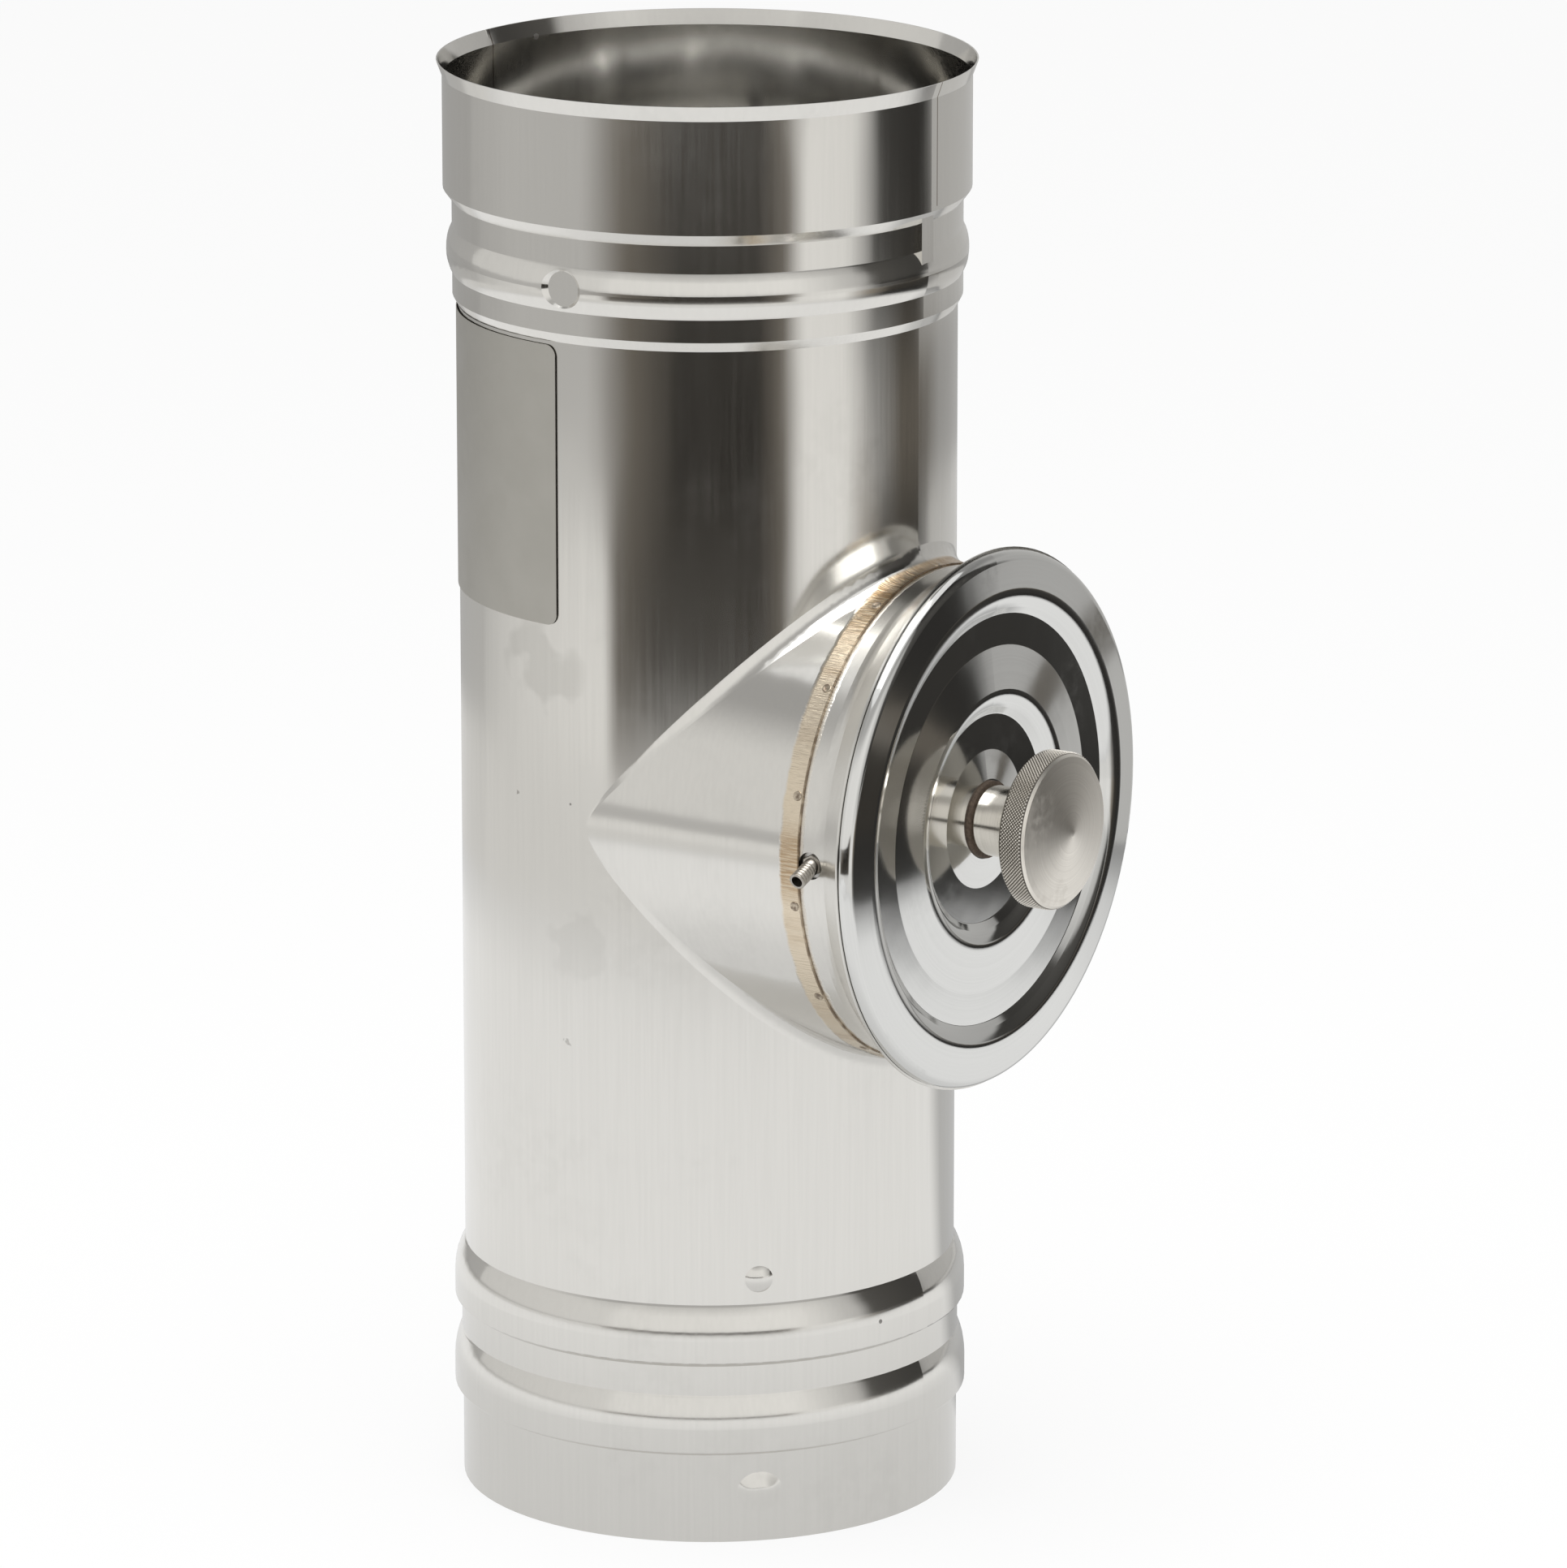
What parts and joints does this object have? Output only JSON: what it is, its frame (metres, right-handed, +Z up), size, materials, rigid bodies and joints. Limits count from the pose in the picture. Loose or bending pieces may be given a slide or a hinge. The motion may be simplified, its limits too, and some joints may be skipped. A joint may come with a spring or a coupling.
{
  "type": "flue pipe with inspection door",
  "caption": "Stainless flue pipe length with a socket, spigot and a short branch neck closed by a round pressed door with a knurled knob, for inspection and sweeping.",
  "frame": {"origin": "on the pipe's axis at the end of the spigot, where the pipe stands", "axes": "+Z up along the pipe towards the socket, +X along the branch towards the door"},
  "size_m": [0.184, 0.1429, 0.3844],
  "materials": {
    "pipe_steel": "bright rolled stainless sheet",
    "cover_steel": "mirror polished stainless",
    "turned_steel": "turned stainless",
    "hidden_steel": "plain mill finish",
    "seal": "matt",
    "fibre": "matt brown fibre",
    "film": "blank matt grey film"
  },
  "bodies": {
    "pipe": {"pipe_body": "pipe_steel", "door_collar": "pipe_steel", "cross_bar": "hidden_steel", "bar_bush": "hidden_steel", "bar_pin_near": "turned_steel", "bar_pin_far": "turned_steel", "label_film": "film"},
    "door": {"door_cover": "cover_steel", "door_gasket": "seal", "hub_washer": "fibre", "inner_washer": "hidden_steel"},
    "knob": {"knob": "turned_steel", "spindle": "hidden_steel", "retaining_ring": "hidden_steel"}
  },
  "joints": [
    {"name": "door_pull", "type": "slide", "parent": "pipe", "child": "door", "axis": [1, 0, 0], "range_m": [0, 0.1]},
    {"name": "knob_turn", "type": "hinge", "parent": "door", "child": "knob", "pos_m": [0.1, 0, 0.192], "axis": [1, 0, 0], "continuous": true}
  ]
}
